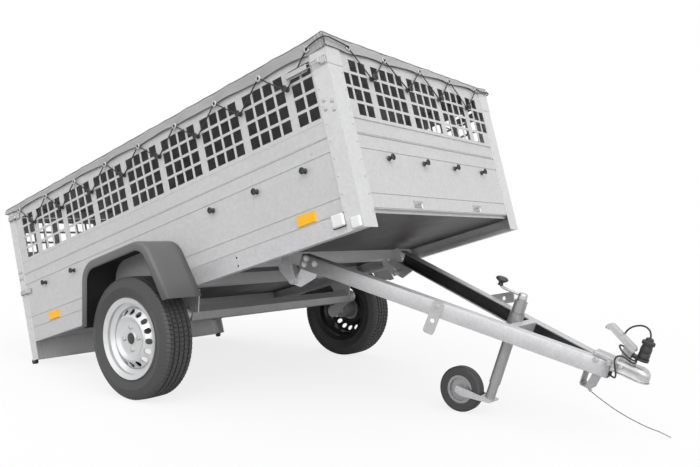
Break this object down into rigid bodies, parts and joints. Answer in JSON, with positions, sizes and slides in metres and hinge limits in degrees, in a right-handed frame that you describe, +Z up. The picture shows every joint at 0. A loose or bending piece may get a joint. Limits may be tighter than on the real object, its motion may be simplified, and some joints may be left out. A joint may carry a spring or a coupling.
{
  "type": "tipping box trailer",
  "caption": "Single-axle utility trailer: tipping box bed with mesh sides, flat cover, wheels, opening tailgate, V drawbar, ball coupling and jockey wheel.",
  "frame": {"origin": "bottom centre of the trailer's bounding box, on the ground", "axes": "+X towards the coupling, +Y to the trailer's left, +Z up"},
  "size_m": [3.3546, 1.68, 1.5174],
  "materials": {
    "black_plastic": "moulded black",
    "black_rubber": "black rubber, matt",
    "bright_steel": "zinc plated, bright",
    "brown_plywood": "film-faced plywood, dark",
    "cover_fabric": "coated fabric, grey",
    "galvanised_sheet": "zinc-coated sheet, satin",
    "galvanised_steel": "hot-dip galvanised, spangled",
    "grey_plastic": "moulded grey, fine grain",
    "red_lens": "red lens, glossy",
    "silver_paint": "silver lacquer, semi-gloss",
    "tyre_rubber": "black tyre rubber",
    "white_lens": "white lens, glossy",
    "white_plate": "blank plate, white",
    "yellow_reflector": "amber, glossy"
  },
  "bodies": {
    "bed": {"axle_brackets": "galvanised_steel", "axle_tube": "galvanised_steel", "bed_hinges": "galvanised_steel", "corner_caps": "galvanised_sheet", "cover": "cover_fabric", "cross_members": "galvanised_steel", "fenders": "grey_plastic", "floor": "brown_plywood", "front_hooks": "galvanised_steel", "front_posts": "galvanised_sheet", "front_wall": "galvanised_sheet", "gate_pins": "galvanised_sheet", "marker_lamps": "white_lens", "mesh_front": "galvanised_sheet", "mesh_sides": "galvanised_sheet", "number_plate": "white_plate", "pivot_brackets": "galvanised_steel", "rear_header": "galvanised_sheet", "rear_posts": "galvanised_sheet", "rear_rollers": "black_rubber", "rear_valance": "galvanised_sheet", "side_latches": "bright_steel", "side_rails": "galvanised_steel", "side_reflectors": "yellow_reflector", "side_walls": "galvanised_sheet", "tail_lamps": "red_lens", "trailing_arms": "galvanised_steel"},
    "wheel_left": {"tyre_left": "tyre_rubber", "rim_left": "silver_paint", "hub_left": "galvanised_steel"},
    "wheel_right": {"tyre_right": "tyre_rubber", "rim_right": "silver_paint", "hub_right": "galvanised_steel"},
    "tailgate": {"tailgate": "galvanised_sheet", "tailgate_hinges": "galvanised_steel"},
    "mesh_gate": {"mesh_gate": "galvanised_sheet"},
    "drawbar": {"drawbar_beams": "galvanised_steel", "pivot_plates": "galvanised_steel", "drawbar_bridge": "galvanised_steel", "jack_clamp": "galvanised_steel", "travel_latches": "galvanised_steel", "coupling_head": "bright_steel", "coupling_handle": "bright_steel", "drawbar_skid": "galvanised_steel", "plug_holder": "black_plastic", "cable_plug": "black_plastic", "wire_clips": "bright_steel", "power_cable": "black_rubber", "breakaway_wire": "bright_steel"},
    "jack_tube": {"jack_tube": "bright_steel", "jack_crank": "bright_steel"},
    "jack_leg": {"jack_leg": "bright_steel"},
    "jockey_fork": {"jockey_fork": "galvanised_steel"},
    "jockey_wheel": {"jockey_tyre": "black_rubber", "jockey_rim": "bright_steel"}
  },
  "joints": [
    {"name": "wheel_left_spin", "type": "hinge", "parent": "bed", "child": "wheel_left", "pos_m": [-0.36586, 0.748, 0.2735], "axis": [0, 1, 0], "continuous": true},
    {"name": "wheel_right_spin", "type": "hinge", "parent": "bed", "child": "wheel_right", "pos_m": [-0.36586, -0.748, 0.2735], "axis": [0, 1, 0], "continuous": true},
    {"name": "tailgate_hinge", "type": "hinge", "parent": "bed", "child": "tailgate", "pos_m": [-1.45047, 0, 0.17344], "axis": [0, -1, 0], "range_deg": [0, 90]},
    {"name": "mesh_gate_hinge", "type": "hinge", "parent": "bed", "child": "mesh_gate", "pos_m": [-1.53881, 0, 0.45804], "axis": [0, -1, 0], "range_deg": [0, 90]},
    {"name": "tipping_pivot", "type": "hinge", "parent": "bed", "child": "drawbar", "pos_m": [0.24157, 0, 0.55277], "axis": [0, -1, 0], "range_deg": [-4, 33.85]},
    {"name": "jack_clamp_slide", "type": "slide", "parent": "drawbar", "child": "jack_tube", "axis": [0.2848, 0, 0.9586], "range_m": [0, 0.15]},
    {"name": "jack_screw", "type": "slide", "parent": "jack_tube", "child": "jack_leg", "axis": [-0.2848, 0, -0.9586], "range_m": [-0.05, 0.15]},
    {"name": "jockey_swivel", "type": "hinge", "parent": "jack_leg", "child": "jockey_fork", "pos_m": [1.0602, 0, 0.30954], "axis": [0.2848, 0, 0.9586], "continuous": true},
    {"name": "jockey_spin", "type": "hinge", "parent": "jockey_fork", "child": "jockey_wheel", "pos_m": [0.85606, 0, 0.1], "axis": [0, 1, 0], "continuous": true}
  ]
}
